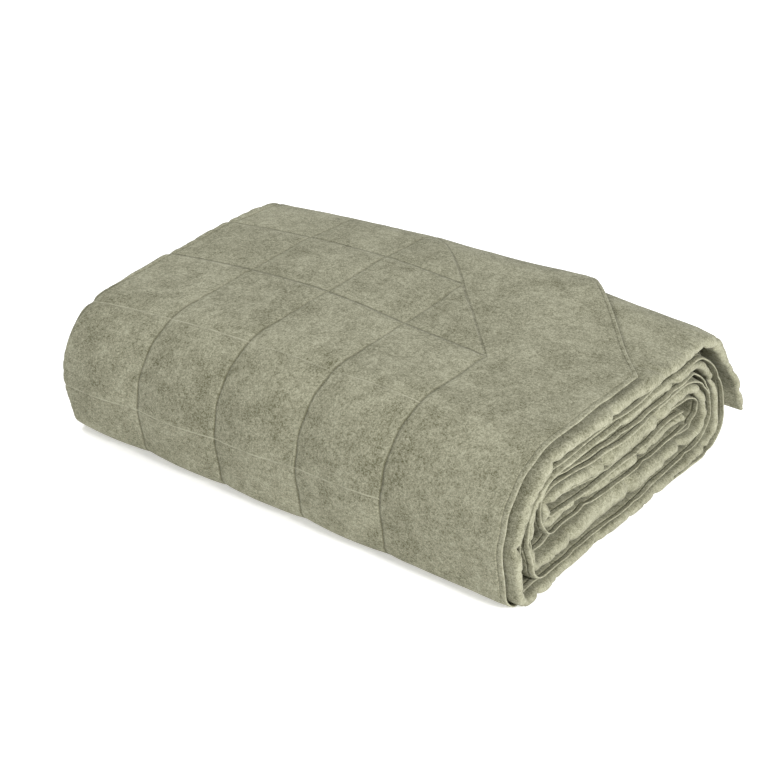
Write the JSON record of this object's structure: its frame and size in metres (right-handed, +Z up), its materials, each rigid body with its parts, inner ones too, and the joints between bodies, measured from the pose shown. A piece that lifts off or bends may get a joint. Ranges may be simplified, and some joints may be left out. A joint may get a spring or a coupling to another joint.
{
  "type": "folded quilt",
  "caption": "Thin quilted cotton quilt, pleated and rolled up flat into a thick rectangular pack, with stitched squares, a plain border and the edges of its many layers at one end.",
  "frame": {"origin": "centre of the floor under the folded pack's bounding box", "axes": "+Z up; +X along the pack's long side, towards the end where the hems and folds show; +Y from the rounded front to the back, where the outer end of the cloth hangs"},
  "size_m": [0.665, 0.496, 0.1802],
  "materials": {
    "quilt_cotton": "matte, stone-washed and mottled"
  },
  "bodies": {
    "root": {"quilt": "quilt_cotton"}
  },
  "joints": []
}
